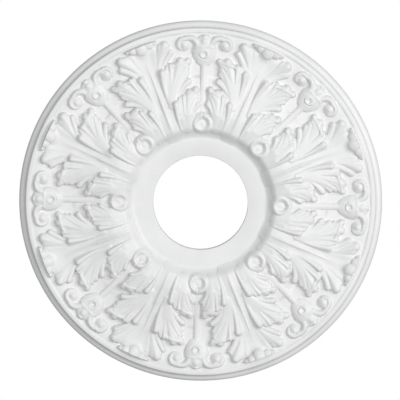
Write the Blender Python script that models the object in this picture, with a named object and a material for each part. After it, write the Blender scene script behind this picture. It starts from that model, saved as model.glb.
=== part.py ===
"""Acanthus ceiling rose: one moulded disc with a lamp hole, carved with leaves and bell flowers.

Metres, +Z up. The flat back lies in the plane z = 0, against the ceiling, and the carved
face hangs below it. The origin is the middle of the back, on the axis of the lamp hole.
"""

import math

import bmesh
import bpy
import numpy as np

# Driving dimensions
OUTER_RADIUS = 0.2032
HOLE_RADIUS = 0.0529
SEAT_RADIUS = 0.0728
SEAT_HEIGHT = 0.0082
SHOULDER_WIDTH = 0.0134
CROWN_HEIGHT = 0.0162
HOLLOW_WIDTH = 0.0120
HOLLOW_TO_FIELD_EDGE = 0.0274
HOLLOW_HEIGHT = 0.0078
FIELD_HEIGHT = 0.0104
LIP_RISE_WIDTH = 0.0026
LIP_HEIGHT = 0.0116
LIP_WIDTH = 0.0042
LIP_ROUND = 0.0016
COVE_WIDTH = 0.0034
COVE_TURN = math.radians(75)
BEAD_WIDTH = 0.0042
BEAD_HEIGHT = 0.0058
EDGE_HEIGHT = 0.0006
SEAT_TO_LEAF_FOOT = 0.0063
LEAF_COUNT = 8

CROWN_RADIUS = SEAT_RADIUS + SHOULDER_WIDTH
LEAF_FOOT_RADIUS = SEAT_RADIUS + SEAT_TO_LEAF_FOOT
FIELD_RADIUS = OUTER_RADIUS - BEAD_WIDTH - COVE_WIDTH - LIP_WIDTH - LIP_RISE_WIDTH
HOLLOW_OUTER_RADIUS = FIELD_RADIUS - HOLLOW_TO_FIELD_EDGE
HOLLOW_INNER_RADIUS = HOLLOW_OUTER_RADIUS - HOLLOW_WIDTH
HALF_LEAF_ANGLE = math.pi / LEAF_COUNT

# Fineness of the turned edges, of the carved field before it is thinned, and of what stays
SIDES_PER_HALF_LEAF = 6
LIP_SIDES = 2
COVE_SIDES = 3
BEAD_SIDES = 3
FIELD_COLUMNS = 48
FIELD_ROWS = 104
KEPT_SHARE = 0.045
PATH_STEPS = 18
SPIRAL_STEPS = 36
BLEND = 0.00030
EDGE_FADE = 0.0025
LEAST_UPWARD = 0.04
UNFOLD_PASSES = 24
UNFOLD_SHARE = 0.5
MERGE_DISTANCE = 0.00001
SHARP_ANGLE = math.radians(35)

MOULDING_COLOUR = (0.83, 0.82, 0.80, 1.0)
MOULDING_ROUGHNESS = 0.45

# The ornament is drawn on a leaf 110 mm long and scales with the real one. Each ridge has
# three points (root, bend, tip) as (across, along), three half-widths, three rises and the
# power of its section: 2 is a round back, more is a squarer one and less is a tent.
DRAWN_LEAF_LENGTH = 110.0
DRAWING_SCALE = (FIELD_RADIUS - LEAF_FOOT_RADIUS) / DRAWN_LEAF_LENGTH
TENT = 1.3
ROUND = 2.0
PLUMP = 2.6
BLOCK = 3.6

LEAF_RIDGES = {
    "lower blade": (((0, 2), (0, 28), (0, 54)), (10, 12, 10.5), (0.8, 4.6, 5.2), BLOCK),
    "upper blade": (((0, 54), (0, 76), (0, 99)), (10.5, 12, 15), (5.2, 3.6, 1.9), BLOCK),
    "lower web": (((14.5, 5), (15, 22), (21.5, 38.6)), (4.6, 5.0, 3.4), (1.2, 5.8, 6.8), BLOCK),
    "middle web": (((10, 34), (12.5, 56), (20.5, 76)), (4.6, 6.0, 3.4), (6.0, 6.8, 6.6), BLOCK),
    "lower lobe": (((18.6, 4), (21, 24), (32.6, 37.4)), (5.6, 7.2, 7.4), (1.0, 6.2, 7.2), BLOCK),
    "lower shelf": (((20, 6), (25, 20), (35.6, 30)), (5.0, 5.8, 4.8), (1.0, 4.6, 4.6), BLOCK),
    "lower curl": (((26, 38), (34, 40.4), (41.5, 39.6)), (2.8, 3.4, 2.8), (7.6, 7.9, 6.8), ROUND),
    "crevice floor": (((15, 39), (21, 42.4), (29, 44)), (3.0, 3.4, 3.0), (5.4, 5.2, 4.6), ROUND),
    "middle lobe": (((12, 38), (20, 57), (34.2, 71)), (5.0, 7.5, 8.2), (6.2, 7.2, 7.0), BLOCK),
    "middle shelf": (((14, 42), (24, 57), (35.6, 65)), (4.4, 5.4, 5.2), (5.6, 6.2, 5.9), BLOCK),
    "middle curl": (((25, 74.4), (35, 75.8), (44, 73)), (3.0, 4.0, 3.0), (7.8, 8.3, 6.4), ROUND),
    "upper lobe": (((6, 66), (12, 82), (22, 95.4)), (6.5, 8.5, 8.6), (3.6, 4.2, 5.0), PLUMP),
    "upper flank": (((4, 66), (8, 82), (14, 95)), (7.0, 9.0, 9.0), (2.6, 3.4, 3.6), ROUND),
    "lower midrib": (((0, 1), (0, 20), (0, 42)), (6.6, 5.8, 5.4), (1.6, 6.0, 7.0), TENT),
    "upper midrib": (((0, 42), (0, 62), (0, 90)), (5.4, 4.8, 3.4), (7.0, 5.9, 2.7), TENT),
    "lower eye": (((10.2, 3), (10.6, 21), (15.0, 34.8)), (1.9, 2.4, 4.3), (1.2, 6.8, 10.8), PLUMP),
    "lower eye flank": (((10, 8), (10.6, 22), (14.4, 34.6)), (2.6, 4.4, 6.6), (1.6, 6.0, 8.2), TENT),
    "upper eye": (((8.4, 26), (6.6, 52), (12.8, 72.2)), (2.2, 3.2, 4.3), (3.6, 7.4, 10.6), PLUMP),
    "upper eye flank": (((8.4, 30), (6.6, 52), (12.2, 72)), (3.0, 5.2, 8.4), (3.0, 6.3, 8.6), TENT),
    "lower finger 1": (((18, 6), (20, 25), (25.6, 39.4)), (2.4, 3.0, 3.4), (1.0, 6.4, 8.0), ROUND),
    "lower finger 2": (((20.5, 7), (24.5, 26), (33, 41)), (2.8, 3.5, 4.6), (1.0, 6.2, 7.6), ROUND),
    "lower finger 3": (((22.5, 8), (28, 27), (41, 41.4)), (2.8, 3.6, 4.0), (1.0, 6.0, 6.6), PLUMP),
    "lower finger 4": (((24, 12), (30, 25), (39.4, 34.6)), (2.6, 3.0, 2.9), (1.4, 5.2, 5.0), ROUND),
    "lower finger 5": (((22, 6), (25, 18), (37.6, 26)), (2.6, 2.8, 3.4), (1.0, 5.0, 5.8), ROUND),
    "middle finger 1": (((11, 39), (18.5, 58), (24, 76)), (2.5, 3.1, 3.6), (6.0, 7.1, 8.1), ROUND),
    "middle finger 2": (((13, 42), (22, 60), (36, 76.6)), (2.8, 3.9, 5.2), (6.0, 7.2, 7.7), ROUND),
    "middle finger 3": (((16, 46), (30, 64), (44.4, 74)), (2.8, 3.6, 3.8), (5.8, 7.0, 5.8), PLUMP),
    "middle finger 4": (((15, 40), (25, 53), (38.4, 61.6)), (2.6, 2.8, 3.2), (5.0, 6.0, 5.6), ROUND),
    "middle finger 5": (((12, 36), (24, 50), (36.6, 53)), (2.8, 3.2, 3.8), (5.0, 6.0, 6.4), PLUMP),
    "upper finger 1": (((7, 68), (14, 86), (26, 99.4)), (3.2, 4.4, 5.6), (3.6, 4.8, 6.4), ROUND),
    "upper finger 2": (((7, 64), (15, 80), (28.8, 90)), (2.8, 3.4, 4.1), (3.5, 4.5, 5.4), ROUND),
    "tip foot": (((0, 92), (0, 98), (0, 104)), (9.0, 11, 12), (1.4, 2.8, 4.6), ROUND),
    "tip": (((0, 104.4), (0, 107), (0, 109.4)), (7.8, 7.8, 7.8), (8.2, 8.8, 9.0), PLUMP),
    "tip side": (((9.2, 106.8), (9.4, 108), (9.6, 109.6)), (5.8, 5.8, 5.8), (7.2, 7.6, 7.8), PLUMP),
    "tip corner": (((15, 108.4), (15, 109.1), (15, 109.8)), (4.2, 4.2, 4.2), (5.8, 6.2, 6.4), PLUMP),
}

FLOWER_RIDGES = {
    "stem": (((0, 27), (0, 52), (0, 76)), (2.8, 3.8, 4.0), (0.5, 1.8, 3.0), ROUND),
    "bell": (((0, 84.5), (0, 90), (0, 99)), (11.0, 14.0, 10.6), (4.6, 6.2, 4.4), ROUND),
    "calyx": (((0, 100.2), (0, 101), (0, 101.8)), (4.6, 4.8, 4.6), (5.6, 5.6, 5.4), PLUMP),
    "scroll arm": (((7, 95), (9.6, 107), (20, 105)), (3.8, 3.8, 3.4), (5.0, 4.8, 4.4), ROUND),
    "bud": (((0, 106.6), (0, 107.2), (0, 107.8)), (3.6, 3.8, 3.6), (4.0, 4.2, 4.0), ROUND),
    "scroll eye": (((22.2, 96.6), (22.6, 96.9), (23, 97.2)), (6.4, 6.8, 6.4), (5.0, 5.4, 5.0), TENT),
    "button floor": (((0, 10.6), (0, 10.9), (0, 11.2)), (6.4, 6.4, 6.4), (0.9, 0.9, 0.9), BLOCK),
}

SCROLL_CENTRE = (23.4, 97.4)
SCROLL_REACH = (6.8, 5.2)
SCROLL_TURN = (math.radians(110), math.radians(-60))
SCROLL_HALF_WIDTHS = (3.2, 3.0, 2.6)
SCROLL_RISES = (4.5, 4.2, 2.8)
BUTTON_CENTRE = (0.0, 10.8)
BUTTON_REACH = (8.4, 8.8)
BUTTON_TURN = (math.radians(-90), math.radians(90))
BUTTON_HALF_WIDTHS = (3.8, 4.2, 4.6)
BUTTON_RISES = (2.6, 4.4, 5.2)


def ease(share):
    """Cosine step from 0 to 1."""
    return 0.5 - 0.5 * np.cos(np.pi * np.clip(share, 0.0, 1.0))


def ground_height(radius):
    """Height of the turned ground under the carving: shoulder, hollow and rise to the lip."""
    climbing = ease((radius - SEAT_RADIUS) / SHOULDER_WIDTH)
    shoulder = SEAT_HEIGHT + (CROWN_HEIGHT - SEAT_HEIGHT) * climbing
    falling = ease((radius - CROWN_RADIUS) / (HOLLOW_INNER_RADIUS - CROWN_RADIUS))
    rising = ease((radius - HOLLOW_OUTER_RADIUS) / HOLLOW_TO_FIELD_EDGE)
    slope = CROWN_HEIGHT + (HOLLOW_HEIGHT - CROWN_HEIGHT) * falling
    outside = slope + (FIELD_HEIGHT - HOLLOW_HEIGHT) * rising
    return np.where(radius < CROWN_RADIUS, shoulder, outside)


def bent_path(root, bend, tip):
    """Points of a quadratic curve from root to tip."""
    share = np.linspace(0.0, 1.0, PATH_STEPS + 1)[:, None]
    corners = np.array([root, bend, tip], dtype=float)
    return (1 - share) ** 2 * corners[0] + 2 * share * (1 - share) * corners[1] + share**2 * corners[2]


def spiral_path(centre, reach, turn):
    """Points of a spiral about a centre, from its first to its last reach."""
    share = np.linspace(0.0, 1.0, SPIRAL_STEPS + 1)
    radius = reach[0] + (reach[1] - reach[0]) * share
    angle = turn[0] + (turn[1] - turn[0]) * share
    return np.stack([centre[0] + radius * np.cos(angle), centre[1] + radius * np.sin(angle)], axis=1)


def ridge(points, path, half_widths, rises, power=ROUND):
    """Rise of a ridge along a path, at points of the drawing."""
    share = np.linspace(0.0, 1.0, len(path))
    half = np.interp(share, np.linspace(0.0, 1.0, len(half_widths)), half_widths)
    top = np.interp(share, np.linspace(0.0, 1.0, len(rises)), rises)
    height = np.zeros(len(points))
    for i in range(len(path) - 1):
        run = path[i + 1] - path[i]
        offset = points - path[i]
        along = np.clip(offset @ run / (run @ run), 0.0, 1.0)
        away = np.linalg.norm(offset - along[:, None] * run, axis=1)
        across = np.clip(away / (half[i] + (half[i + 1] - half[i]) * along), 0.0, 1.0)
        rise = top[i] + (top[i + 1] - top[i]) * along
        height = np.maximum(height, rise * (1.0 - across**power) ** (1.0 / power))
    return height


def drawing_points(angle, radius):
    """Places on a drawing whose axis is at angle 0, as (across, along)."""
    across = radius * np.sin(angle)
    along = radius * np.cos(angle) - LEAF_FOOT_RADIUS
    return np.stack([across, along], axis=1) / DRAWING_SCALE


def carved_rise(angle, radius):
    """Rise of leaf and flower above the ground at polar points of half a leaf's sector."""
    leaf = drawing_points(angle, radius)
    flower = drawing_points(HALF_LEAF_ANGLE - angle, radius)
    rises = [ridge(leaf, bent_path(*path), *shape) for path, *shape in LEAF_RIDGES.values()]
    rises += [ridge(flower, bent_path(*path), *shape) for path, *shape in FLOWER_RIDGES.values()]
    scroll = spiral_path(SCROLL_CENTRE, SCROLL_REACH, SCROLL_TURN)
    rises.append(ridge(flower, scroll, SCROLL_HALF_WIDTHS, SCROLL_RISES))
    button = spiral_path(BUTTON_CENTRE, BUTTON_REACH, BUTTON_TURN)
    rises.append(ridge(flower, button, BUTTON_HALF_WIDTHS, BUTTON_RISES, TENT))
    blend = BLEND / DRAWING_SCALE
    blended = sum(np.expm1(rise / blend) for rise in rises)
    return blend * np.log1p(blended) * DRAWING_SCALE


def carved_field():
    """Half a leaf's sector of the carved field, thinned to the faces that its shape needs."""
    bm = bmesh.new()
    layer = bm.verts.layers.deform.verify()
    bmesh.ops.create_grid(bm, x_segments=FIELD_COLUMNS, y_segments=FIELD_ROWS, size=0.5)
    place = np.array([vert.co[:2] for vert in bm.verts]) + 0.5
    angle = place[:, 0] * HALF_LEAF_ANGLE
    radius = SEAT_RADIUS + place[:, 1] * (FIELD_RADIUS - SEAT_RADIUS)
    inside = ease((FIELD_RADIUS - radius) / EDGE_FADE) * ease((radius - SEAT_RADIUS) / EDGE_FADE)
    height = ground_height(radius) + carved_rise(angle, radius) * inside
    for vert, a, r, h in zip(bm.verts, angle, radius, height):
        vert.co = (r * math.cos(a), r * math.sin(a), h)
    on_arc = np.minimum(radius - SEAT_RADIUS, FIELD_RADIUS - radius) < MERGE_DISTANCE
    column = np.rint(place[:, 0] * FIELD_COLUMNS).astype(int)
    spare = on_arc & (column % (FIELD_COLUMNS // SIDES_PER_HALF_LEAF) != 0)
    for vert, arc in zip(bm.verts, on_arc):
        vert[layer][0] = 0.0 if arc else 1.0
    bmesh.ops.dissolve_verts(bm, verts=[vert for vert, drop in zip(bm.verts, spare) if drop])
    bmesh.ops.triangulate(bm, faces=bm.faces[:])
    return thinned(bm)


def thinned(bm):
    """The patch with its faces collapsed to the kept share, its two arcs left whole."""
    mesh = bpy.data.meshes.new("field")
    bm.to_mesh(mesh)
    bm.free()
    field = bpy.data.objects.new("field", mesh)
    bpy.context.scene.collection.objects.link(field)
    field.vertex_groups.new(name="free")
    thin = field.modifiers.new("thin", "DECIMATE")
    thin.ratio = KEPT_SHARE
    thin.vertex_group = "free"
    thin.use_collapse_triangulate = True
    evaluated = field.evaluated_get(bpy.context.evaluated_depsgraph_get())
    patch = bmesh.new()
    patch.from_mesh(evaluated.to_mesh())
    bpy.data.objects.remove(field)
    bpy.data.meshes.remove(mesh)
    return patch


def off_arcs(vert):
    """Whether a corner of the patch lies clear of its inner and its outer arc."""
    reach = vert.co.xy.length
    return min(abs(reach - FIELD_RADIUS), abs(reach - SEAT_RADIUS)) > MERGE_DISTANCE


def square_up(bm):
    """Put the two straight edges of a sector on their planes, where copies will meet."""
    end = (math.cos(HALF_LEAF_ANGLE), math.sin(HALF_LEAF_ANGLE))
    sides = (set(), set())
    for vert in {vert for edge in bm.edges if edge.is_boundary for vert in edge.verts}:
        x, y = vert.co.xy
        near_start = math.atan2(y, x) < HALF_LEAF_ANGLE / 2
        along = x if near_start else x * end[0] + y * end[1]
        if off_arcs(vert):
            vert.co.xy = (along, 0.0) if near_start else (along * end[0], along * end[1])
            sides[near_start].add(vert)
    flat = [face for face in bm.faces if any(side.issuperset(face.verts) for side in sides)]
    bmesh.ops.delete(bm, geom=flat, context="FACES")


def unfold(bm):
    """Spread the corners of overhanging faces level, so that the patch has no undercut."""
    for _ in range(UNFOLD_PASSES):
        bm.normal_update()
        steep = [face for face in bm.faces if face.normal.z < LEAST_UPWARD]
        corners = {vert for face in steep for vert in face.verts if off_arcs(vert)}
        bmesh.ops.smooth_vert(
            bm, verts=list(corners), factor=UNFOLD_SHARE, use_axis_x=True, use_axis_y=True
        )
        square_up(bm)


def sweep_arc(bm, radius, profile):
    """Carry the arc of edges at a radius through the points of a profile."""
    edges = [e for e in bm.edges if all(abs(v.co.xy.length - radius) < MERGE_DISTANCE for v in e.verts)]
    for next_radius, next_height in profile:
        grown = bmesh.ops.extrude_edge_only(bm, edges=edges)["geom"]
        edges = [item for item in grown if isinstance(item, bmesh.types.BMEdge)]
        for vert in (item for item in grown if isinstance(item, bmesh.types.BMVert)):
            stretch = next_radius / vert.co.xy.length
            vert.co = (vert.co.x * stretch, vert.co.y * stretch, next_height)


def rim_profile():
    """Outer edge, outward from the field: flat lip, cove, bead and straight edge."""
    lip_inner = FIELD_RADIUS + LIP_RISE_WIDTH
    lip_outer = lip_inner + LIP_WIDTH
    cove_outer = lip_outer + COVE_WIDTH
    points = [(lip_inner, LIP_HEIGHT)]
    for bend in np.linspace(0.0, math.pi / 2, LIP_SIDES + 1):
        drop = LIP_ROUND * (1 - math.cos(bend))
        points.append((lip_outer - LIP_ROUND * (1 - math.sin(bend)), LIP_HEIGHT - drop))
    cove_top = LIP_HEIGHT - LIP_ROUND
    for bend in np.linspace(0.0, COVE_TURN, COVE_SIDES + 1)[1:]:
        out = (1 - math.cos(bend)) / (1 - math.cos(COVE_TURN))
        drop = (cove_top - BEAD_HEIGHT) * math.sin(bend) / math.sin(COVE_TURN)
        points.append((lip_outer + COVE_WIDTH * out, cove_top - drop))
    first = math.pi / 2 - COVE_TURN
    for bend in np.linspace(first, math.pi / 2, BEAD_SIDES + 1)[1:]:
        out = (math.sin(bend) - math.sin(first)) / (1 - math.sin(first))
        drop = (BEAD_HEIGHT - EDGE_HEIGHT) * (1 - math.cos(bend) / math.cos(first))
        points.append((cove_outer + BEAD_WIDTH * out, BEAD_HEIGHT - drop))
    points.append((OUTER_RADIUS, 0.0))
    return points


def ceiling_rose():
    """The whole moulding: sectors mirrored and turned about the axis, with a flat back."""
    bm = carved_field()
    square_up(bm)
    unfold(bm)
    sweep_arc(bm, FIELD_RADIUS, rim_profile())
    sweep_arc(bm, SEAT_RADIUS, [(HOLE_RADIUS, SEAT_HEIGHT), (HOLE_RADIUS, 0.0)])
    half = bm.verts[:] + bm.edges[:] + bm.faces[:]
    copies = bmesh.ops.duplicate(bm, geom=half)["geom"]
    flipped = [item for item in copies if isinstance(item, bmesh.types.BMVert)]
    bmesh.ops.scale(bm, vec=(1.0, -1.0, 1.0), verts=flipped)
    turned_faces = [item for item in copies if isinstance(item, bmesh.types.BMFace)]
    bmesh.ops.reverse_faces(bm, faces=turned_faces)
    sector = bm.verts[:] + bm.edges[:] + bm.faces[:]
    steps = LEAF_COUNT - 1
    turn = steps * 2 * HALF_LEAF_ANGLE
    bmesh.ops.spin(
        bm, geom=sector, cent=(0, 0, 0), axis=(0, 0, 1), angle=turn, steps=steps, use_duplicate=True
    )
    bmesh.ops.remove_doubles(bm, verts=bm.verts[:], dist=MERGE_DISTANCE)
    back_edges = [edge for edge in bm.edges if edge.is_boundary]
    bmesh.ops.bridge_loops(bm, edges=back_edges)
    bmesh.ops.recalc_face_normals(bm, faces=bm.faces[:])
    mesh = bpy.data.meshes.new("ceiling_rose")
    bm.to_mesh(mesh)
    bm.free()
    mesh.shade_smooth()
    mesh.set_sharp_from_angle(angle=SHARP_ANGLE)
    rose = bpy.data.objects.new("ceiling_rose", mesh)
    rose.rotation_euler = (math.pi, 0.0, 0.0)
    return rose


def moulding_material():
    """Satin white moulded plastic."""
    material = bpy.data.materials.new("white_moulding")
    material.use_nodes = True
    shader = material.node_tree.nodes["Principled BSDF"]
    shader.inputs["Base Color"].default_value = MOULDING_COLOUR
    shader.inputs["Roughness"].default_value = MOULDING_ROUGHNESS
    shader.inputs["Metallic"].default_value = 0.0
    return material


def main():
    """Build the ceiling rose in its own collection."""
    for old in list(bpy.data.objects):
        bpy.data.objects.remove(old)
    parts = bpy.data.collections.new("ceiling_rose_parts")
    bpy.context.scene.collection.children.link(parts)
    rose = ceiling_rose()
    rose.data.materials.append(moulding_material())
    parts.objects.link(rose)


main()
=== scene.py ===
"""Looks of an acanthus ceiling rose: a satin white moulding that hangs face down.

Metres, +Z up. The flat back lies in the plane z = 0 and the carved face looks down to -Z.
The rose is one moulding. Half of one leaf's sector is carved from a fine grid, thinned,
swept into the turned rim and ring, mirrored, and turned about the axis of the lamp hole.
"""

import logging
import math
from abc import ABC, abstractmethod
from dataclasses import dataclass
from enum import Enum
from typing import Any, Iterable, Sequence

import bmesh
import bpy
import numpy as np
from mathutils import Matrix, Vector


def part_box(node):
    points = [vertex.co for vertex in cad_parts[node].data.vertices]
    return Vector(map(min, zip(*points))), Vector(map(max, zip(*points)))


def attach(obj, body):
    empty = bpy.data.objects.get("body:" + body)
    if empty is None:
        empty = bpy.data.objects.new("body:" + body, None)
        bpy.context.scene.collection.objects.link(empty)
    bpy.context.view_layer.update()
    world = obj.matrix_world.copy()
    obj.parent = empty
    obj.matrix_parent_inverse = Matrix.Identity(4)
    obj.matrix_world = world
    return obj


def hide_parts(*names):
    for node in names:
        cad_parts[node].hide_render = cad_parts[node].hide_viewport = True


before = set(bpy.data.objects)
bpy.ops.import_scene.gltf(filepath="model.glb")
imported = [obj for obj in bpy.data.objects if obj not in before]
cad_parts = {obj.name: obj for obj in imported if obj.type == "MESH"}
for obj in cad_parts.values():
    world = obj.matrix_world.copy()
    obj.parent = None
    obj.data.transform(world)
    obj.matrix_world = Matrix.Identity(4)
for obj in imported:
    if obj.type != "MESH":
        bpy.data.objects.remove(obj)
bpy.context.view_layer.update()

LOG = logging.getLogger("ceiling_rose")

NODE = "ceiling_rose"
BODY = "root"

Pair = tuple[float, float]
Triple = tuple[float, float, float]

MERGE_DISTANCE = 0.000004
GRID_REACH = 0.5
PATH_STEPS = 14
SPIRAL_STEPS = 42
TRIANGLES_PER_SIDE = 2

# Sockets of Blender's Mix node that carry colours
MIX_COLOUR_A = 6
MIX_COLOUR_B = 7
MIX_COLOUR_RESULT = 2

NOISE_MIDDLE = 0.5
WHITE: Triple = (1.0, 1.0, 1.0)


class Back(Enum):
    """How the back of a ridge is shaped across, as the power of its section curve."""

    TENT = 1.3
    ROUND = 2.0
    PLUMP = 2.6
    BLOCK = 3.6


def ease(share: np.ndarray) -> np.ndarray:
    """Cosine step from 0 to 1."""
    return 0.5 - 0.5 * np.cos(np.pi * np.clip(share, 0.0, 1.0))


@dataclass(frozen=True)
class RoseSizes:
    """Sizes of the turned body, in metres, with the outer radius and the back from the frame."""

    outer_radius: float
    back_z: float
    hole_radius: float = 0.0529
    seat_radius: float = 0.0728
    seat_height: float = 0.0082
    crown_radius: float = 0.0862
    crown_height: float = 0.0162
    hollow_inner_radius: float = 0.1494
    hollow_outer_radius: float = 0.1614
    hollow_height: float = 0.0078
    field_height: float = 0.0104
    lip_height: float = 0.0116
    lip_rise_width: float = 0.0026
    lip_width: float = 0.0042
    lip_round: float = 0.0016
    cove_width: float = 0.0034
    cove_turn_degrees: float = 75.0
    bead_width: float = 0.0042
    bead_height: float = 0.0058
    edge_height: float = 0.0006
    arris: float = 0.0007
    leaf_foot_radius: float = 0.0791
    leaf_count: int = 8

    @property
    def field_radius(self) -> float:
        """Outer radius of the carved field, inside lip, cove and bead."""
        border = self.lip_rise_width + self.lip_width + self.cove_width + self.bead_width
        return self.outer_radius - border

    @property
    def half_angle(self) -> float:
        """Angle of half a leaf's sector, in radians."""
        return math.pi / self.leaf_count

    @property
    def leaf_length(self) -> float:
        """Length of a leaf from its foot to the edge of the field."""
        return self.field_radius - self.leaf_foot_radius


def sizes_from_frame() -> RoseSizes:
    """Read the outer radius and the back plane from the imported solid.

    Returns:
        The sizes of the turned body.
    """
    low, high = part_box(NODE)
    return RoseSizes(outer_radius=float(high[0] - low[0]) / 2, back_z=float(high[2]))


@dataclass(frozen=True)
class Ground:
    """The turned ground under the carving."""

    sizes: RoseSizes

    def height(self, radius: np.ndarray) -> np.ndarray:
        """Height above the back: shoulder, hollow and rise to the lip.

        Args:
            radius: Distances from the rose's axis, in metres.

        Returns:
            Heights in metres.
        """
        s = self.sizes
        climbing = ease((radius - s.seat_radius) / (s.crown_radius - s.seat_radius))
        shoulder = s.seat_height + (s.crown_height - s.seat_height) * climbing
        falling = ease((radius - s.crown_radius) / (s.hollow_inner_radius - s.crown_radius))
        rising = ease((radius - s.hollow_outer_radius) / (s.field_radius - s.hollow_outer_radius))
        slope = s.crown_height + (s.hollow_height - s.crown_height) * falling
        outside = slope + (s.field_height - s.hollow_height) * rising
        return np.where(radius < s.crown_radius, shoulder, outside)


class Strand(ABC):
    """A ridge carved along a line, drawn in millimetres on a leaf 110 mm long."""

    half_widths: Triple
    rises: Triple
    back: Back

    @abstractmethod
    def path(self) -> np.ndarray:
        """Points of the line on the drawing, one row each."""

    def rise(self, points: np.ndarray) -> np.ndarray:
        """Rise of the ridge above its ground.

        Args:
            points: Places on the drawing, one row each.

        Returns:
            Rises in drawing millimetres, 0 outside the ridge.
        """
        path = self.path()
        reach = max(self.half_widths)
        near = np.all((points > path.min(axis=0) - reach) & (points < path.max(axis=0) + reach), axis=1)
        local = points[near]
        share = np.linspace(0.0, 1.0, len(path))
        stations = np.linspace(0.0, 1.0, len(self.rises))
        half = np.interp(share, stations, self.half_widths)
        top = np.interp(share, stations, self.rises)
        best = np.zeros(len(local))
        for i in range(len(path) - 1):
            run = path[i + 1] - path[i]
            offset = local - path[i]
            along = np.clip(offset @ run / (run @ run), 0.0, 1.0)
            away = np.linalg.norm(offset - along[:, None] * run, axis=1)
            across = np.clip(away / (half[i] + (half[i + 1] - half[i]) * along), 0.0, 1.0)
            section = (1.0 - across**self.back.value) ** (1.0 / self.back.value)
            best = np.maximum(best, (top[i] + (top[i + 1] - top[i]) * along) * section)
        height = np.zeros(len(points))
        height[near] = best
        return height


@dataclass(frozen=True)
class Ridge(Strand):
    """A ridge along a bent line from its root to its tip."""

    root: Pair
    bend: Pair
    tip: Pair
    half_widths: Triple
    rises: Triple
    back: Back = Back.ROUND

    def path(self) -> np.ndarray:
        """Follow the quadratic curve from root to tip.

        Returns:
            Places on the drawing, one row each.
        """
        share = np.linspace(0.0, 1.0, PATH_STEPS + 1)[:, None]
        corners = np.array([self.root, self.bend, self.tip], dtype=float)
        ends = (1 - share) ** 2 * corners[0] + share**2 * corners[2]
        return ends + 2 * share * (1 - share) * corners[1]


@dataclass(frozen=True)
class Scroll(Strand):
    """A ridge that winds about a centre, with its turn in degrees."""

    centre: Pair
    reach: Pair
    turn: Pair
    half_widths: Triple
    rises: Triple
    back: Back = Back.ROUND

    def path(self) -> np.ndarray:
        """Follow the spiral from its first reach to its last.

        Returns:
            Places on the drawing, one row each.
        """
        share = np.linspace(0.0, 1.0, SPIRAL_STEPS + 1)
        radius = self.reach[0] + (self.reach[1] - self.reach[0]) * share
        angle = np.radians(self.turn[0] + (self.turn[1] - self.turn[0]) * share)
        across = self.centre[0] + radius * np.cos(angle)
        return np.stack([across, self.centre[1] + radius * np.sin(angle)], axis=1)


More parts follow.
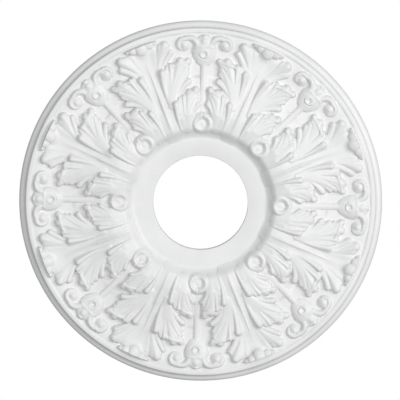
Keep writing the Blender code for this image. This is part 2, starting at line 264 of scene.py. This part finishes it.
@dataclass(frozen=True)
class AcanthusLeaf:
    """Right half of one leaf, from its foot at the shoulder to its turned-over tip.

    The blade holds the leaf's flat and the webs between its lobes, the pipes are the raised eyes
    and their flanks, and the flutes are cut back between the fingers.
    """

    blade: tuple[Ridge, ...] = (
        Ridge((0, 2), (0, 28), (0, 54), (10, 12, 10.5), (0.8, 4.6, 5.2), Back.BLOCK),
        Ridge((0, 54), (0, 76), (0, 99), (10.5, 12, 15), (5.2, 3.6, 1.9), Back.BLOCK),
        Ridge((14.5, 5), (15, 20), (18.5, 29.5), (4.6, 5.0, 3.6), (1.2, 5.4, 6.6), Back.BLOCK),
        Ridge((15.5, 25), (18.5, 32), (21.5, 38.6), (3.4, 3.6, 3.2), (6.4, 6.8, 6.8), Back.BLOCK),
        Ridge((10, 34), (12.5, 52), (18.5, 67.5), (4.6, 6.0, 4.6), (6.0, 6.8, 7.0), Back.BLOCK),
        Ridge((14, 62), (17.5, 69), (20.5, 76), (3.6, 3.8, 3.0), (6.8, 6.8, 6.4), Back.BLOCK),
    )
    lobes: tuple[Ridge, ...] = (
        Ridge((18.6, 4), (21, 24), (32.6, 37.4), (5.6, 7.2, 7.4), (1.0, 6.2, 7.2), Back.BLOCK),
        Ridge((20, 6), (25, 20), (35.6, 30), (5.0, 5.8, 4.8), (1.0, 4.6, 4.6), Back.BLOCK),
        Ridge((26, 38), (34, 40.4), (41.5, 39.6), (2.8, 3.4, 2.8), (7.6, 7.9, 6.8)),
        Ridge((12, 38), (20, 57), (34.2, 71), (5.0, 7.5, 8.2), (6.2, 7.2, 7.0), Back.BLOCK),
        Ridge((15, 39), (21, 42.4), (29, 44), (3.0, 3.4, 3.0), (5.4, 5.2, 4.6)),
        Ridge((14, 42), (24, 57), (35.6, 65), (4.4, 5.4, 5.2), (5.6, 6.2, 5.9), Back.BLOCK),
        Ridge((25, 74.4), (35, 75.8), (44, 73), (3.0, 4.0, 3.0), (7.8, 8.3, 6.4)),
        Ridge((6, 66), (12, 82), (22, 95.4), (6.5, 8.5, 8.6), (3.6, 4.2, 5.0), Back.PLUMP),
        Ridge((4, 66), (8, 82), (14, 95), (7.0, 9.0, 9.0), (2.6, 3.4, 3.6)),
    )
    midrib: tuple[Ridge, ...] = (
        Ridge((0, 1), (0, 20), (0, 42), (6.6, 5.8, 5.4), (1.6, 6.0, 7.0), Back.TENT),
        Ridge((0, 42), (0, 62), (0, 90), (5.4, 4.8, 3.4), (7.0, 5.9, 2.7), Back.TENT),
    )
    pipes: tuple[Ridge, ...] = (
        Ridge((10.2, 3), (10.6, 21), (15.0, 34.8), (1.9, 2.4, 4.3), (1.2, 6.8, 10.8), Back.PLUMP),
        Ridge((8.4, 26), (6.6, 52), (12.8, 72.2), (2.2, 3.2, 4.3), (3.6, 7.4, 10.6), Back.PLUMP),
        Ridge((10.0, 8), (10.6, 22), (14.4, 34.6), (2.6, 4.4, 6.6), (1.6, 6.0, 8.2), Back.TENT),
        Ridge((8.4, 30), (6.6, 52), (12.2, 72), (3.0, 5.2, 8.4), (3.0, 6.3, 8.6), Back.TENT),
    )
    lower_fingers: tuple[Ridge, ...] = (
        Ridge((18, 6), (20, 25), (25.6, 39.4), (2.4, 3.0, 3.4), (1.0, 6.4, 8.0)),
        Ridge((20.5, 7), (24.5, 26), (33, 41), (2.8, 3.5, 4.6), (1.0, 6.2, 7.6)),
        Ridge((22.5, 8), (28, 27), (41, 41.4), (2.8, 3.6, 4.0), (1.0, 6.0, 6.6), Back.PLUMP),
        Ridge((24, 12), (30, 25), (39.4, 34.6), (2.6, 3.0, 2.9), (1.4, 5.2, 5.0)),
        Ridge((22, 6), (25, 18), (37.6, 26), (2.6, 2.8, 3.4), (1.0, 5.0, 5.8)),
    )
    middle_fingers: tuple[Ridge, ...] = (
        Ridge((11, 39), (18.5, 58), (24, 76), (2.5, 3.1, 3.6), (6.0, 7.1, 8.1)),
        Ridge((13, 42), (22, 60), (36, 76.6), (2.8, 3.9, 5.2), (6.0, 7.2, 7.7)),
        Ridge((16, 46), (30, 64), (44.4, 74), (2.8, 3.6, 3.8), (5.8, 7.0, 5.8), Back.PLUMP),
        Ridge((16, 43), (28, 58), (40, 67), (2.8, 3.4, 3.4), (5.8, 6.8, 5.8)),
        Ridge((15, 40), (25, 53), (38.4, 61.6), (2.6, 2.8, 3.2), (5.0, 6.0, 5.6)),
        Ridge((12, 36), (24, 50), (36.6, 53), (2.8, 3.2, 3.8), (5.0, 6.0, 6.4), Back.PLUMP),
    )
    upper_fingers: tuple[Ridge, ...] = (
        Ridge((7, 68), (14, 86), (26, 99.4), (3.2, 4.4, 5.6), (3.6, 4.8, 6.4)),
        Ridge((7, 64), (15, 80), (28.8, 90), (2.8, 3.4, 4.1), (3.5, 4.5, 5.4)),
    )
    tip: tuple[Ridge, ...] = (
        Ridge((0, 92), (0, 98), (0, 104), (9.0, 11, 12), (1.4, 2.8, 4.6)),
        Ridge((0, 104.4), (0, 107), (0, 109.4), (7.8, 7.8, 7.8), (8.2, 8.8, 9.0), Back.PLUMP),
        Ridge((9.2, 106.8), (9.4, 108), (9.6, 109.6), (5.8, 5.8, 5.8), (7.2, 7.6, 7.8), Back.PLUMP),
        Ridge((15, 108.4), (15, 109.1), (15, 109.8), (4.2, 4.2, 4.2), (5.8, 6.2, 6.4), Back.PLUMP),
    )
    flutes: tuple[Ridge, ...] = (
        Ridge((8, 78), (12, 88), (17, 101), (1.0, 1.6, 1.6), (0.1, 0.4, 0.5)),
        Ridge((11, 77), (19, 88), (27.5, 92.4), (0.9, 1.4, 1.4), (0.1, 0.5, 0.6)),
        Ridge((18, 56), (24, 66), (28.8, 75), (0.9, 1.3, 1.5), (0.1, 0.3, 0.7)),
        Ridge((22, 57), (30, 62.5), (38, 68.8), (0.9, 1.3, 1.4), (0.1, 0.4, 0.7)),
        Ridge((22, 20), (25, 31), (28.6, 40.6), (0.9, 1.3, 1.4), (0.1, 0.3, 0.6)),
        Ridge((27, 24), (32, 32), (39.5, 37), (0.9, 1.3, 1.4), (0.1, 0.4, 0.7)),
    )

    def ridges(self) -> Iterable[Ridge]:
        """Go through every ridge of the half leaf.

        Returns:
            The ridges, group by group.
        """
        groups = (self.blade, self.lobes, self.midrib, self.pipes, self.lower_fingers)
        for group in groups + (self.middle_fingers, self.upper_fingers, self.tip):
            yield from group

    def cuts(self) -> Iterable[Ridge]:
        """Grooves cut back into the half leaf, as ridges turned over."""
        yield from self.flutes


@dataclass(frozen=True)
class BellFlower:
    """Right half of one flower: ringed button, stem, bell with its eyelet, calyx, scroll and bud."""

    stem: Ridge = Ridge((0, 27), (0, 52), (0, 76), (2.8, 3.8, 4.0), (0.5, 1.8, 3.0))
    bell: Ridge = Ridge((0, 84.5), (0, 90), (0, 99), (11.0, 14.0, 10.6), (4.6, 6.2, 4.4))
    eyelet: Scroll = Scroll((0, 87.4), (3.8, 4.6), (-90, 90), (2.2, 2.4, 2.2), (6.4, 6.6, 6.4))
    lips: Ridge = Ridge((1.8, 95.6), (6, 96.6), (9.4, 95), (1.6, 2.2, 2.4), (6.2, 5.8, 5.0))
    arm: Ridge = Ridge((7, 95), (9.6, 107), (20, 105), (3.8, 3.8, 3.4), (5.0, 4.8, 4.4))
    calyx: Ridge = Ridge((0, 100.2), (0, 101), (0, 101.8), (4.6, 4.8, 4.6), (5.6, 5.6, 5.4), Back.PLUMP)
    bud: Ridge = Ridge((0, 106.6), (0, 107.2), (0, 107.8), (3.6, 3.8, 3.6), (4.0, 4.2, 4.0))
    volute: Ridge = Ridge(
        (22.2, 96.6), (22.6, 96.9), (23, 97.2), (6.4, 6.8, 6.4), (5.0, 5.4, 5.0), Back.TENT
    )
    scroll: Scroll = Scroll((23.4, 97.4), (6.8, 5.2), (110, -60), (3.2, 3.0, 2.6), (4.5, 4.2, 2.8))
    dish: Ridge = Ridge((0, 10.6), (0, 10.9), (0, 11.2), (6.4, 6.4, 6.4), (0.9, 0.9, 0.9), Back.BLOCK)
    nub: Ridge = Ridge((0, 10.6), (0, 10.9), (0, 11.2), (2.2, 2.2, 2.2), (1.3, 1.3, 1.3))
    ring: Scroll = Scroll((0, 10.8), (8.4, 8.8), (-90, 90), (3.8, 4.2, 4.6), (2.6, 4.4, 5.2), Back.TENT)
    notch: Ridge = Ridge((0, 15.2), (0, 18), (0, 20.6), (1.1, 1.3, 1.0), (1.4, 1.6, 0.8))
    dimple: Ridge = Ridge((0, 87), (0, 87.4), (0, 88), (2.4, 2.4, 2.4), (1.5, 1.5, 1.5))
    fold: Ridge = Ridge((0, 82.4), (3.4, 82.4), (6, 85.4), (1.0, 0.9, 0.7), (1.0, 0.8, 0.2))

    def ridges(self) -> Iterable[Strand]:
        """Every ridge of the half flower."""
        yield from (self.stem, self.bell, self.eyelet, self.lips, self.arm, self.calyx, self.bud)
        yield from (self.volute, self.scroll, self.dish, self.nub, self.ring)

    def cuts(self) -> Iterable[Ridge]:
        """Hollows cut back into the half flower, as ridges turned over."""
        yield from (self.notch, self.dimple, self.fold)


@dataclass(frozen=True)
class Carving:
    """Leaf and flower together, as a rise over the ground of half a leaf's sector."""

    sizes: RoseSizes
    leaf: AcanthusLeaf = AcanthusLeaf()
    flower: BellFlower = BellFlower()
    drawn_length: float = 110.0
    blend: float = 0.00022

    def drawing_points(self, angle: np.ndarray, radius: np.ndarray) -> np.ndarray:
        """Find places on a drawing whose axis is at angle 0.

        Args:
            angle: Angles from the drawing's axis, in radians.
            radius: Distances from the rose's axis, in metres.

        Returns:
            Places across and along the drawing's axis, in its millimetres.
        """
        across = radius * np.sin(angle)
        along = radius * np.cos(angle) - self.sizes.leaf_foot_radius
        return np.stack([across, along], axis=1) * (self.drawn_length / self.sizes.leaf_length)

    def rise(self, angle: np.ndarray, radius: np.ndarray) -> np.ndarray:
        """Rise of the carving above the ground.

        Args:
            angle: Angles from the leaf's axis, in radians.
            radius: Distances from the rose's axis, in metres.

        Returns:
            Rises in metres.
        """
        scale = self.sizes.leaf_length / self.drawn_length
        blend = self.blend / scale
        on_leaf = self.drawing_points(angle, radius)
        on_flower = self.drawing_points(self.sizes.half_angle - angle, radius)
        total = np.zeros(len(angle))
        cut = np.zeros(len(angle))
        for points, work in ((on_leaf, self.leaf), (on_flower, self.flower)):
            for ridge in work.ridges():
                total += np.expm1(ridge.rise(points) / blend)
            for groove in work.cuts():
                cut = np.maximum(cut, groove.rise(points))
        relief = blend * np.log1p(total)
        return np.maximum(relief - cut, 0.0) * scale


@dataclass
class RoseMoulding:
    """The whole moulding as one closed mesh.

    The carving is drawn on a grid of columns and rows, fades out over edge_fade beside the
    patch's two arcs, stays whole within guard of them, and is thinned elsewhere.
    """

    sizes: RoseSizes
    carving: Carving
    sides_per_half_leaf: int = 20
    columns: int = 160
    rows: int = 340
    triangles: int = 195000
    edge_fade: float = 0.0018
    guard: float = 0.0004
    sharp_degrees: float = 40.0
    rise_sides: int = 5
    lip_turns_degrees: tuple[float, ...] = (90.0, 65.0, 40.0, 20.0)
    cove_sides: int = 5
    bead_sides: int = 6
    arris_turns_degrees: tuple[float, ...] = (90.0, 60.0, 30.0, 0.0)

    def carved_half(self) -> bmesh.types.BMesh:
        """Carve half of a leaf's sector on a fine grid and thin it where it is plain.

        Returns:
            An open patch between the seat and the field's outer edge, with z as height.
        """
        s = self.sizes
        bm = bmesh.new()
        layer = bm.verts.layers.deform.verify()
        bmesh.ops.create_grid(bm, x_segments=self.columns, y_segments=self.rows, size=GRID_REACH)
        place = np.array([vert.co[:2] for vert in bm.verts]) + GRID_REACH
        angle = place[:, 0] * s.half_angle
        radius = s.seat_radius + place[:, 1] * (s.field_radius - s.seat_radius)
        inside = ease((s.field_radius - radius) / self.edge_fade)
        inside *= ease((radius - s.seat_radius) / self.edge_fade)
        height = Ground(s).height(radius) + self.carving.rise(angle, radius) * inside
        for vert, a, r, h in zip(bm.verts, angle, radius, height):
            vert.co = (r * math.cos(a), r * math.sin(a), h)
        off_arc = np.minimum(radius - s.seat_radius, s.field_radius - radius)
        column = np.rint(place[:, 0] * self.columns).astype(int)
        spare = (off_arc < MERGE_DISTANCE) & (column % (self.columns // self.sides_per_half_leaf) != 0)
        for vert, distance in zip(bm.verts, off_arc):
            vert[layer][0] = 0.0 if distance < self.guard else 1.0
        bmesh.ops.dissolve_verts(bm, verts=[v for v, drop in zip(bm.verts, spare) if drop])
        bmesh.ops.triangulate(bm, faces=bm.faces[:])
        return self.thinned(bm)

    def thinned(self, bm: bmesh.types.BMesh) -> bmesh.types.BMesh:
        """Collapse the patch to its share of the triangle budget.

        Args:
            bm: The fine patch, which is freed. Its arcs have weight 0 and stay whole.

        Returns:
            The thinned patch.
        """
        halves = 2 * self.sizes.leaf_count
        bands = len(self.rim_profile()) + len(self.ring_profile()) + 1
        in_bands = TRIANGLES_PER_SIDE * bands * self.sides_per_half_leaf
        ratio = (self.triangles / halves - in_bands) / len(bm.faces)
        mesh = bpy.data.meshes.new("field")
        bm.to_mesh(mesh)
        bm.free()
        patch = bpy.data.objects.new("field", mesh)
        bpy.context.scene.collection.objects.link(patch)
        patch.vertex_groups.new(name="free")
        thin = patch.modifiers.new("thin", "DECIMATE")
        thin.ratio = ratio
        thin.vertex_group = "free"
        thin.use_collapse_triangulate = True
        evaluated = patch.evaluated_get(bpy.context.evaluated_depsgraph_get())
        result = bmesh.new()
        result.from_mesh(evaluated.to_mesh())
        bpy.data.objects.remove(patch)
        bpy.data.meshes.remove(mesh)
        return result

    def square_up(self, bm: bmesh.types.BMesh) -> None:
        """Put the patch's two straight edges back on their planes, where copies will meet.

        Args:
            bm: The thinned patch. Faces left flat in those planes are taken out of it.
        """
        s = self.sizes
        start = Vector((1.0, 0.0))
        end = Vector((math.cos(s.half_angle), math.sin(s.half_angle)))
        sides: tuple[set, set] = (set(), set())
        for vert in {vert for edge in bm.edges if edge.is_boundary for vert in edge.verts}:
            flat = vert.co.xy
            off_arcs = min(abs(flat.length - s.field_radius), abs(flat.length - s.seat_radius))
            if off_arcs > MERGE_DISTANCE:
                near_start = math.atan2(flat.y, flat.x) < s.half_angle / 2
                side = start if near_start else end
                vert.co.xy = side * flat.dot(side)
                sides[near_start].add(vert)
        flat_faces = [face for face in bm.faces if any(side.issuperset(face.verts) for side in sides)]
        bmesh.ops.delete(bm, geom=flat_faces, context="FACES")

    def rim_profile(self) -> list[Pair]:
        """Draw the outer edge, outward from the field: rise, lip, cove, bead and straight edge.

        Returns:
            Radii and heights, in metres.
        """
        s = self.sizes
        lip_inner = s.field_radius + s.lip_rise_width
        lip_outer = lip_inner + s.lip_width
        cove_outer = lip_outer + s.cove_width
        points = []
        for share in np.linspace(0.0, 1.0, self.rise_sides + 1)[1:]:
            climbed = (s.lip_height - s.field_height) * float(ease(share))
            points.append((s.field_radius + s.lip_rise_width * share, s.field_height + climbed))
        for turn in self.lip_turns_degrees:
            bend = math.radians(turn)
            drop = s.lip_round * (1 - math.sin(bend))
            points.append((lip_outer - s.lip_round * (1 - math.cos(bend)), s.lip_height - drop))
        cove_top = s.lip_height - s.lip_round
        last = math.radians(s.cove_turn_degrees)
        for bend in np.linspace(0.0, last, self.cove_sides + 1):
            out = (1 - math.cos(bend)) / (1 - math.cos(last))
            drop = (cove_top - s.bead_height) * math.sin(bend) / math.sin(last)
            points.append((lip_outer + s.cove_width * out, cove_top - drop))
        first = math.pi / 2 - last
        for bend in np.linspace(first, math.pi / 2, self.bead_sides + 1)[1:]:
            out = (math.sin(bend) - math.sin(first)) / (1 - math.sin(first))
            drop = (s.bead_height - s.edge_height) * (1 - math.cos(bend) / math.cos(first))
            points.append((cove_outer + s.bead_width * out, s.bead_height - drop))
        points.append((s.outer_radius, s.arris / 2))
        points.append((s.outer_radius - s.arris / 2, 0.0))
        return points

    def ring_profile(self) -> list[Pair]:
        """Draw the sunk ring and the hole's wall, inward from the foot of the shoulder.

        Returns:
            Radii and heights, in metres.
        """
        s = self.sizes
        points = [(s.seat_radius - s.arris, s.seat_height)]
        for turn in self.arris_turns_degrees:
            bend = math.radians(turn)
            drop = s.arris * (1 - math.sin(bend))
            points.append((s.hole_radius + s.arris * (1 - math.cos(bend)), s.seat_height - drop))
        points.append((s.hole_radius, s.arris / 2))
        points.append((s.hole_radius + s.arris / 2, 0.0))
        return points

    def sweep_arc(self, bm: bmesh.types.BMesh, radius: float, profile: Sequence[Pair]) -> None:
        """Carry the arc of edges at a radius through the points of a profile.

        Args:
            bm: The patch that the arc belongs to.
            radius: The arc's distance from the rose's axis, in metres.
            profile: Radii and heights to carry it through, in metres.
        """
        edges = [e for e in bm.edges if all(abs(v.co.xy.length - radius) < MERGE_DISTANCE for v in e.verts)]
        for next_radius, next_height in profile:
            grown = bmesh.ops.extrude_edge_only(bm, edges=edges)["geom"]
            edges = [item for item in grown if isinstance(item, bmesh.types.BMEdge)]
            for vert in (item for item in grown if isinstance(item, bmesh.types.BMVert)):
                vert.co.xy *= next_radius / vert.co.xy.length
                vert.co.z = next_height

    def build(self) -> bpy.types.Object:
        """Make the whole rose, face down, as one closed mesh.

        Returns:
            The new object, at the origin.
        """
        s = self.sizes
        bm = self.carved_half()
        self.square_up(bm)
        self.sweep_arc(bm, s.field_radius, self.rim_profile())
        self.sweep_arc(bm, s.seat_radius, self.ring_profile())
        half = bm.verts[:] + bm.edges[:] + bm.faces[:]
        copies = bmesh.ops.duplicate(bm, geom=half)["geom"]
        flipped = [item for item in copies if isinstance(item, bmesh.types.BMVert)]
        bmesh.ops.scale(bm, vec=(1.0, -1.0, 1.0), verts=flipped)
        bmesh.ops.reverse_faces(bm, faces=[i for i in copies if isinstance(i, bmesh.types.BMFace)])
        sector = bm.verts[:] + bm.edges[:] + bm.faces[:]
        steps = s.leaf_count - 1
        bmesh.ops.spin(
            bm, geom=sector, cent=(0, 0, 0), axis=(0, 0, 1), angle=steps * 2 * s.half_angle,
            steps=steps, use_duplicate=True,
        )
        bmesh.ops.remove_doubles(bm, verts=bm.verts[:], dist=MERGE_DISTANCE)
        bmesh.ops.bridge_loops(bm, edges=[edge for edge in bm.edges if edge.is_boundary])
        bm.transform(Matrix.Translation((0, 0, s.back_z)) @ Matrix.Rotation(math.pi, 4, "X"))
        bmesh.ops.recalc_face_normals(bm, faces=bm.faces[:])
        mesh = bpy.data.meshes.new("rose_moulding")
        bm.to_mesh(mesh)
        bm.free()
        mesh.shade_smooth()
        mesh.set_sharp_from_angle(angle=math.radians(self.sharp_degrees))
        rose = bpy.data.objects.new("rose_moulding", mesh)
        bpy.context.scene.collection.objects.link(rose)
        return rose


class Wire:
    """A shader socket that Python's operators can work with."""

    def __init__(self, bench: "Bench", socket: bpy.types.NodeSocket) -> None:
        """Keep the bench that owns the nodes and the socket to read from."""
        self.bench = bench
        self.socket = socket

    def maths(self, operation: str, first: Any, second: Any) -> "Wire":
        """Add a Math node on two values or wires."""
        node = self.bench.node("ShaderNodeMath", {"operation": operation}, {0: first, 1: second})
        return Wire(self.bench, node.outputs[0])

    def __add__(self, other: Any) -> "Wire":
        """Sum."""
        return self.maths("ADD", self, other)

    __radd__ = __add__

    def __sub__(self, other: Any) -> "Wire":
        """Difference."""
        return self.maths("SUBTRACT", self, other)

    def __rsub__(self, other: Any) -> "Wire":
        """Difference, with the wire second."""
        return self.maths("SUBTRACT", other, self)

    def __mul__(self, other: Any) -> "Wire":
        """Product."""
        return self.maths("MULTIPLY", self, other)

    __rmul__ = __mul__


class Bench:
    """Makes and links the nodes of one material."""

    def __init__(self, name: str) -> None:
        """Start a material with its Principled shader.

        Args:
            name: The material's name.
        """
        self.material = bpy.data.materials.new(name)
        self.material.use_nodes = True
        self.tree = self.material.node_tree
        self.shader = self.tree.nodes["Principled BSDF"]

    def node(self, kind: str, settings: dict[str, Any], inputs: dict[Any, Any]) -> bpy.types.Node:
        """Add a node.

        Args:
            kind: The node's type name.
            settings: Properties that are set before the sockets.
            inputs: Values or wires by socket name or number.

        Returns:
            The new node.
        """
        made = self.tree.nodes.new(kind)
        for key, value in settings.items():
            setattr(made, key, value)
        for key, value in inputs.items():
            self.feed(made.inputs[key], value)
        return made

    def feed(self, socket: bpy.types.NodeSocket, value: Any) -> None:
        """Set a socket to a value, or link a wire into it.

        Args:
            socket: The socket to feed.
            value: A wire, a number or a colour.
        """
        if isinstance(value, Wire):
            self.tree.links.new(value.socket, socket)
        else:
            socket.default_value = value

    def wire(self, node: bpy.types.Node, output: str | int = 0) -> Wire:
        """Wire from one of a node's outputs."""
        return Wire(self, node.outputs[output])

    def noise(self, place: Wire, scale: float, detail: float) -> Wire:
        """Value noise around 0.5 at a scale given per metre."""
        made = self.node("ShaderNodeTexNoise", {}, {"Vector": place, "Scale": scale, "Detail": detail})
        return self.wire(made, "Fac")

    def blend(self, factor: Wire, low: Triple, high: Triple, span: Pair) -> Wire:
        """Blend two colours between two values of a factor.

        Args:
            factor: The wire that the blend follows.
            low: Colour at and below the span's first value.
            high: Colour at and above the span's last value.
            span: The two values of the factor.

        Returns:
            The blended colour.
        """
        limits = {"Value": factor, "From Min": span[0], "From Max": span[1]}
        ranged = self.node("ShaderNodeMapRange", {"clamp": True}, limits)
        mixed = {0: self.wire(ranged), MIX_COLOUR_A: (*low, 1.0), MIX_COLOUR_B: (*high, 1.0)}
        return self.wire(self.node("ShaderNodeMix", {"data_type": "RGBA"}, mixed), MIX_COLOUR_RESULT)


@dataclass(frozen=True)
class MouldedWhite:
    """Satin white primer over cast foam: clean, faintly mottled, with a fine cast skin."""

    tone_light: Triple = (0.80, 0.797, 0.790)
    tone_deep: Triple = (0.755, 0.753, 0.750)
    tone_span: Pair = (0.42, 0.72)
    skin_in_tone: float = 0.25
    roughness: float = 0.42
    mottle_in_roughness: float = 0.12
    grain_in_roughness: float = 0.06
    specular: float = 0.45
    mottle_per_metre: float = 28.0
    mottle_detail: float = 4.0
    skin_per_metre: float = 900.0
    skin_detail: float = 3.0
    grain_per_metre: float = 2600.0
    grain_detail: float = 1.0
    grain_in_relief: float = 0.4
    relief_strength: float = 0.5
    relief_depth: float = 0.00002

    def material(self) -> bpy.types.Material:
        """Build the material.

        Returns:
            The finished material.
        """
        bench = Bench("moulded_white")
        place = bench.wire(bench.node("ShaderNodeTexCoord", {}, {}), "Object")
        mottle = bench.noise(place, self.mottle_per_metre, self.mottle_detail)
        skin = bench.noise(place, self.skin_per_metre, self.skin_detail)
        grain = bench.noise(place, self.grain_per_metre, self.grain_detail)
        tone = mottle + self.skin_in_tone * skin
        colour = bench.blend(tone, self.tone_deep, self.tone_light, self.tone_span)
        bench.feed(bench.shader.inputs["Base Color"], colour)
        mottled = self.roughness + self.mottle_in_roughness * (mottle - NOISE_MIDDLE)
        roughness = mottled + self.grain_in_roughness * (grain - NOISE_MIDDLE)
        bench.feed(bench.shader.inputs["Roughness"], roughness)
        height = skin + self.grain_in_relief * grain
        relief = {"Strength": self.relief_strength, "Distance": self.relief_depth, "Height": height}
        bench.feed(bench.shader.inputs["Normal"], bench.wire(bench.node("ShaderNodeBump", {}, relief)))
        bench.shader.inputs["Specular IOR Level"].default_value = self.specular
        return bench.material


@dataclass(frozen=True)
class StudioFloor:
    """A plain pale floor far below the rose."""

    drop: float = 3.8
    half_side: float = 4.0
    colour: Triple = (0.82, 0.82, 0.82)
    roughness: float = 0.9

    def build(self) -> bpy.types.Object:
        """Lay the floor and give it its material.

        Returns:
            The floor object.
        """
        bm = bmesh.new()
        bmesh.ops.create_grid(bm, x_segments=1, y_segments=1, size=self.half_side)
        bmesh.ops.translate(bm, vec=(0, 0, -self.drop), verts=bm.verts[:])
        mesh = bpy.data.meshes.new("studio_floor")
        bm.to_mesh(mesh)
        bm.free()
        floor = bpy.data.objects.new("studio_floor", mesh)
        bpy.context.scene.collection.objects.link(floor)
        bench = Bench("studio_floor")
        bench.shader.inputs["Base Color"].default_value = (*self.colour, 1.0)
        bench.shader.inputs["Roughness"].default_value = self.roughness
        mesh.materials.append(bench.material)
        return floor


@dataclass(frozen=True)
class PhotoAxes:
    """Directions of the photograph in the scene, seen from straight below."""

    turn_degrees: float = 21.0

    @property
    def right(self) -> Vector:
        """Direction to the photograph's right."""
        turn = math.radians(self.turn_degrees)
        return Vector((math.cos(turn), math.sin(turn), 0.0))

    @property
    def up(self) -> Vector:
        """Direction to the photograph's top."""
        turn = math.radians(self.turn_degrees)
        return Vector((math.sin(turn), -math.cos(turn), 0.0))

    @property
    def toward(self) -> Vector:
        """Direction from the rose to the viewer."""
        return Vector((0.0, 0.0, -1.0))


@dataclass(frozen=True)
class SoftLamp:
    """A square soft light aimed at the rose from a side of the photograph."""

    name: str
    side_degrees: float
    lift_degrees: float
    distance: float
    size: float
    watts: float
    colour: Triple = WHITE

    def build(self, axes: PhotoAxes, target: Vector) -> bpy.types.Object:
        """Place the lamp.

        Args:
            axes: The photograph's directions.
            target: The point it is aimed at.

        Returns:
            The lamp object.
        """
        side = math.radians(self.side_degrees)
        lift = math.radians(self.lift_degrees)
        level = axes.right * math.cos(side) + axes.up * math.sin(side)
        out = level * math.cos(lift) + axes.toward * math.sin(lift)
        data = bpy.data.lights.new(self.name, "AREA")
        data.shape = "SQUARE"
        data.size = self.size
        data.energy = self.watts
        data.color = self.colour
        lamp = bpy.data.objects.new(self.name, data)
        lamp.location = target + out * self.distance
        lamp.rotation_euler = (-out).to_track_quat("-Z", "Y").to_euler()
        lamp.visible_camera = False
        bpy.context.scene.collection.objects.link(lamp)
        return lamp


@dataclass
class Studio:
    """White surround, soft lamps and the camera below the rose."""

    target: Vector
    outer_radius: float
    axes: PhotoAxes = PhotoAxes()
    ambient: Triple = (0.28, 0.285, 0.295)
    lamps: tuple[SoftLamp, ...] = (
        SoftLamp("key", 15, 47, 3.0, 1.4, 42.5),
        SoftLamp("face", 90, 84, 3.4, 2.0, 39.5),
        SoftLamp("front", 80, 60, 1.8, 1.2, 3.5, (0.94, 0.97, 1.0)),
        SoftLamp("above", 60, -60, 2.0, 1.5, 3.0),
    )
    camera_distance: float = 3.0
    tilt_up_degrees: float = 7.0
    tilt_right_degrees: float = 0.8
    near_share: float = 0.01
    far_share: float = 20.0
    sensor_width: float = 36.0
    photo_width: float = 400.0
    photo_radius: float = 181.4
    photo_centre: Pair = (200.5, 201.9)

    def light(self) -> None:
        """Set the surround and place the lamps."""
        world = bpy.data.worlds.new("studio")
        world.use_nodes = True
        tree = world.node_tree
        seen = tree.nodes["Background"]
        seen.inputs["Color"].default_value = (*WHITE, 1.0)
        unseen = tree.nodes.new("ShaderNodeBackground")
        unseen.inputs["Color"].default_value = (*self.ambient, 1.0)
        ray = tree.nodes.new("ShaderNodeLightPath")
        mix = tree.nodes.new("ShaderNodeMixShader")
        tree.links.new(ray.outputs["Is Camera Ray"], mix.inputs[0])
        tree.links.new(unseen.outputs[0], mix.inputs[1])
        tree.links.new(seen.outputs[0], mix.inputs[2])
        tree.links.new(mix.outputs[0], tree.nodes["World Output"].inputs["Surface"])
        bpy.context.scene.world = world
        for lamp in self.lamps:
            lamp.build(self.axes, self.target)

    def camera(self) -> None:
        """Place the camera below the rose, framed and tilted as the photograph is."""
        tilt_up = math.tan(math.radians(self.tilt_up_degrees))
        tilt_right = math.tan(math.radians(self.tilt_right_degrees))
        back = (self.axes.toward + self.axes.up * tilt_up + self.axes.right * tilt_right).normalized()
        right = self.axes.up.cross(back).normalized()
        up = back.cross(right)
        metres_per_pixel = self.outer_radius / self.photo_radius
        data = bpy.data.cameras.new("photo_camera")
        data.sensor_width = self.sensor_width
        data.lens = self.sensor_width * self.camera_distance / (self.photo_width * metres_per_pixel)
        data.clip_start = self.camera_distance * self.near_share
        data.clip_end = self.camera_distance * self.far_share
        middle = self.photo_width / 2
        off_right = (middle - self.photo_centre[0]) * metres_per_pixel
        off_up = (self.photo_centre[1] - middle) * metres_per_pixel
        aim = self.target + right * off_right + up * off_up
        camera = bpy.data.objects.new("photo_camera", data)
        turn = Matrix((right, up, back)).transposed().to_4x4()
        camera.matrix_world = Matrix.Translation(aim + back * self.camera_distance) @ turn
        bpy.context.scene.collection.objects.link(camera)
        bpy.context.scene.camera = camera


def main() -> None:
    """Build and dress the rose, then the studio around it."""
    logging.basicConfig(level=logging.INFO, format="%(name)s: %(message)s")
    sizes = sizes_from_frame()
    rose = RoseMoulding(sizes, Carving(sizes)).build()
    rose.data.materials.append(MouldedWhite().material())
    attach(rose, BODY)
    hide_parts(NODE)
    LOG.info("%s: %d faces", rose.name, len(rose.data.polygons))
    floor = StudioFloor().build()
    LOG.info("%s laid", floor.name)
    studio = Studio(target=Vector((0.0, 0.0, sizes.back_z)), outer_radius=sizes.outer_radius)
    studio.light()
    studio.camera()
    bpy.context.scene.view_settings.view_transform = "Standard"


if __name__ == "__main__":
    main()
